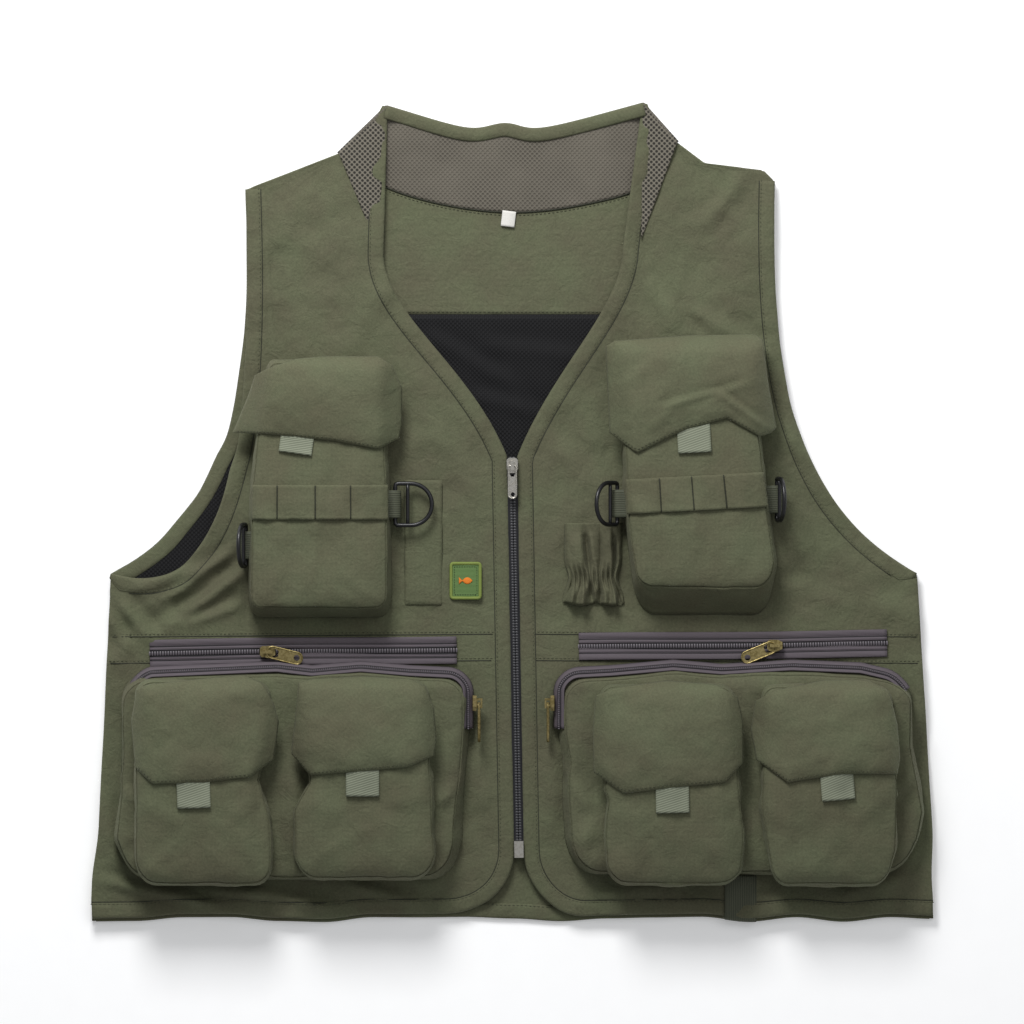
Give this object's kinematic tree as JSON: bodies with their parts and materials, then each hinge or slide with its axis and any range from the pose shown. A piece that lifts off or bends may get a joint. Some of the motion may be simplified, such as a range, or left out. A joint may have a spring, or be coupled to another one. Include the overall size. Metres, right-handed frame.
{
  "type": "fishing vest",
  "caption": "Multi-pocket fishing vest laid flat on its back: zipped fronts, bellows cargo pockets, flap pockets, mesh collar and back, D-rings and zip pulls.",
  "frame": {"origin": "middle of the outline at the underside of the back, as the vest lies on its back", "axes": "+X to the wearer's left, +Y to the collar, +Z out of the front"},
  "size_m": [0.607, 0.589, 0.0541],
  "materials": {
    "olive_fabric": "matte peached cotton-polyester poplin",
    "black_net": "fine knitted lining net",
    "collar_spacer": "grey-brown polyester spacer mesh",
    "webbing": "woven polyester webbing, herringbone",
    "zip_tape_grey": "grey zip tape with nylon coil",
    "zip_tape_black": "black nylon coil zip",
    "antique_brass": "antique brass plate on die-cast zinc",
    "nickel": "bright nickel plate on die-cast zinc",
    "black_acetal": "black moulded acetal",
    "badge_cloth": "woven patch, green with a yellow-green edge"
  },
  "bodies": {
    "vest": {"back_lower_panel": "olive_fabric", "back_mesh_panel": "black_net", "back_yoke": "olive_fabric", "badge_patch": "badge_cloth", "collar_binding": "olive_fabric", "collar_mesh": "collar_spacer", "elastic_pocket": "olive_fabric", "front_zip_retainer_box": "nickel", "hem_loop": "olive_fabric", "left_armhole_binding": "olive_fabric", "left_cargo_pocket": "olive_fabric", "left_cargo_zip": "zip_tape_grey", "left_chest_pocket": "olive_fabric", "left_facing": "olive_fabric", "left_fore_pocket": "olive_fabric", "left_front_lower": "olive_fabric", "left_front_upper": "olive_fabric", "left_front_zip_half": "zip_tape_black", "left_loop_strip": "olive_fabric", "left_rear_pocket": "olive_fabric", "left_waist_zip": "zip_tape_grey", "right_armhole_binding": "olive_fabric", "right_cargo_pocket": "olive_fabric", "right_cargo_zip": "zip_tape_grey", "right_chest_pocket": "olive_fabric", "right_facing": "olive_fabric", "right_fore_pocket": "olive_fabric", "right_front_lower": "olive_fabric", "right_front_upper": "olive_fabric", "right_front_zip_half": "zip_tape_black", "right_loop_strip": "olive_fabric", "right_rear_pocket": "olive_fabric", "right_waist_zip": "zip_tape_grey", "tool_pocket": "olive_fabric"},
    "front_zip_slider": {"front_zip_slider": "nickel"},
    "front_zip_pull": {"front_zip_pull": "nickel"},
    "right_waist_slider": {"right_waist_zip_slider": "antique_brass"},
    "right_waist_pull": {"right_waist_zip_pull": "antique_brass"},
    "right_cargo_slider": {"right_cargo_zip_slider": "antique_brass"},
    "right_cargo_pull": {"right_cargo_zip_pull": "antique_brass"},
    "left_waist_slider": {"left_waist_zip_slider": "antique_brass"},
    "left_waist_pull": {"left_waist_zip_pull": "antique_brass"},
    "left_cargo_slider": {"left_cargo_zip_slider": "antique_brass"},
    "left_cargo_pull": {"left_cargo_zip_pull": "antique_brass"},
    "right_rear_pocket_flap": {"right_rear_pocket_flap": "olive_fabric", "right_rear_pocket_tab": "webbing"},
    "right_fore_pocket_flap": {"right_fore_pocket_flap": "olive_fabric", "right_fore_pocket_tab": "webbing"},
    "left_fore_pocket_flap": {"left_fore_pocket_flap": "olive_fabric", "left_fore_pocket_tab": "webbing"},
    "left_rear_pocket_flap": {"left_rear_pocket_flap": "olive_fabric", "left_rear_pocket_tab": "webbing"},
    "right_chest_pocket_flap": {"right_chest_pocket_flap": "olive_fabric", "right_chest_pocket_tab": "webbing"},
    "left_chest_pocket_flap": {"left_chest_pocket_flap": "olive_fabric", "left_chest_pocket_tab": "webbing"},
    "right_inner_d_ring": {"right_inner_d_ring": "black_acetal"},
    "right_outer_d_ring": {"right_outer_d_ring": "black_acetal"},
    "left_inner_d_ring": {"left_inner_d_ring": "black_acetal"},
    "left_outer_d_ring": {"left_outer_d_ring": "black_acetal"}
  },
  "joints": [
    {"name": "front_zip_travel", "type": "slide", "parent": "vest", "child": "front_zip_slider", "axis": [0.0174, -0.9998, 0], "range_m": [0, 0.264]},
    {"name": "front_zip_pull_swing", "type": "hinge", "parent": "front_zip_slider", "child": "front_zip_pull", "pos_m": [-0.0009, 0.03348, 0.0152], "axis": [-0.9998, -0.0174, 0], "range_deg": [0, 150]},
    {"name": "right_waist_zip_travel", "type": "slide", "parent": "vest", "child": "right_waist_slider", "axis": [1, 0, 0], "range_m": [-0.079, 0.13]},
    {"name": "right_waist_pull_swing", "type": "hinge", "parent": "right_waist_slider", "child": "right_waist_pull", "pos_m": [-0.177, -0.1005, 0.0167], "axis": [-0.2079, -0.9781, 0], "range_deg": [0, 150]},
    {"name": "right_cargo_zip_travel", "type": "slide", "parent": "vest", "child": "right_cargo_slider", "axis": [0, -1, 0], "range_m": [-0.0035, 0.013]},
    {"name": "right_cargo_pull_swing", "type": "hinge", "parent": "right_cargo_slider", "child": "right_cargo_pull", "pos_m": [-0.0248, -0.1375, 0.0195], "axis": [0, 0, 1], "range_deg": [0, 150]},
    {"name": "left_waist_zip_travel", "type": "slide", "parent": "vest", "child": "left_waist_slider", "axis": [1, 0, 0], "range_m": [-0.135, 0.075]},
    {"name": "left_waist_pull_swing", "type": "hinge", "parent": "left_waist_slider", "child": "left_waist_pull", "pos_m": [0.188, -0.096, 0.0167], "axis": [-0.4067, 0.9135, 0], "range_deg": [0, 150]},
    {"name": "left_cargo_zip_travel", "type": "slide", "parent": "vest", "child": "left_cargo_slider", "axis": [0, -1, 0], "range_m": [-0.0035, 0.013]},
    {"name": "left_cargo_pull_swing", "type": "hinge", "parent": "left_cargo_slider", "child": "left_cargo_pull", "pos_m": [0.0248, -0.1375, 0.0195], "axis": [0, 0, -1], "range_deg": [0, 150]},
    {"name": "right_rear_pocket_flap_lift", "type": "hinge", "parent": "vest", "child": "right_rear_pocket_flap", "pos_m": [-0.221, -0.1195, 0.0531], "axis": [-1, 0, 0], "range_deg": [0, 150]},
    {"name": "right_fore_pocket_flap_lift", "type": "hinge", "parent": "vest", "child": "right_fore_pocket_flap", "pos_m": [-0.107, -0.1195, 0.0531], "axis": [-1, 0, 0], "range_deg": [0, 150]},
    {"name": "left_fore_pocket_flap_lift", "type": "hinge", "parent": "vest", "child": "left_fore_pocket_flap", "pos_m": [0.1105, -0.1225, 0.0531], "axis": [-1, 0, 0], "range_deg": [0, 150]},
    {"name": "left_rear_pocket_flap_lift", "type": "hinge", "parent": "vest", "child": "left_rear_pocket_flap", "pos_m": [0.2235, -0.1235, 0.0531], "axis": [-1, 0, 0], "range_deg": [0, 150]},
    {"name": "right_chest_pocket_flap_lift", "type": "hinge", "parent": "vest", "child": "right_chest_pocket_flap", "pos_m": [-0.1405, 0.112, 0.0388], "axis": [-1, 0, 0], "range_deg": [0, 150]},
    {"name": "left_chest_pocket_flap_lift", "type": "hinge", "parent": "vest", "child": "left_chest_pocket_flap", "pos_m": [0.128, 0.124, 0.0388], "axis": [-1, 0, 0], "range_deg": [0, 150]},
    {"name": "right_inner_d_ring_swing", "type": "hinge", "parent": "vest", "child": "right_inner_d_ring", "pos_m": [-0.0851, 0.0055, 0.02], "axis": [0, -1, 0], "range_deg": [0, 90]},
    {"name": "right_outer_d_ring_swing", "type": "hinge", "parent": "vest", "child": "right_outer_d_ring", "pos_m": [-0.1924, -0.024, 0.02], "axis": [0, 1, 0], "range_deg": [-80, 10]},
    {"name": "left_inner_d_ring_swing", "type": "hinge", "parent": "vest", "child": "left_inner_d_ring", "pos_m": [0.0746, 0.006, 0.02], "axis": [0, 1, 0], "range_deg": [-55, 35]},
    {"name": "left_outer_d_ring_swing", "type": "hinge", "parent": "vest", "child": "left_outer_d_ring", "pos_m": [0.1894, 0.009, 0.02], "axis": [0, -1, 0], "range_deg": [-80, 10]}
  ]
}
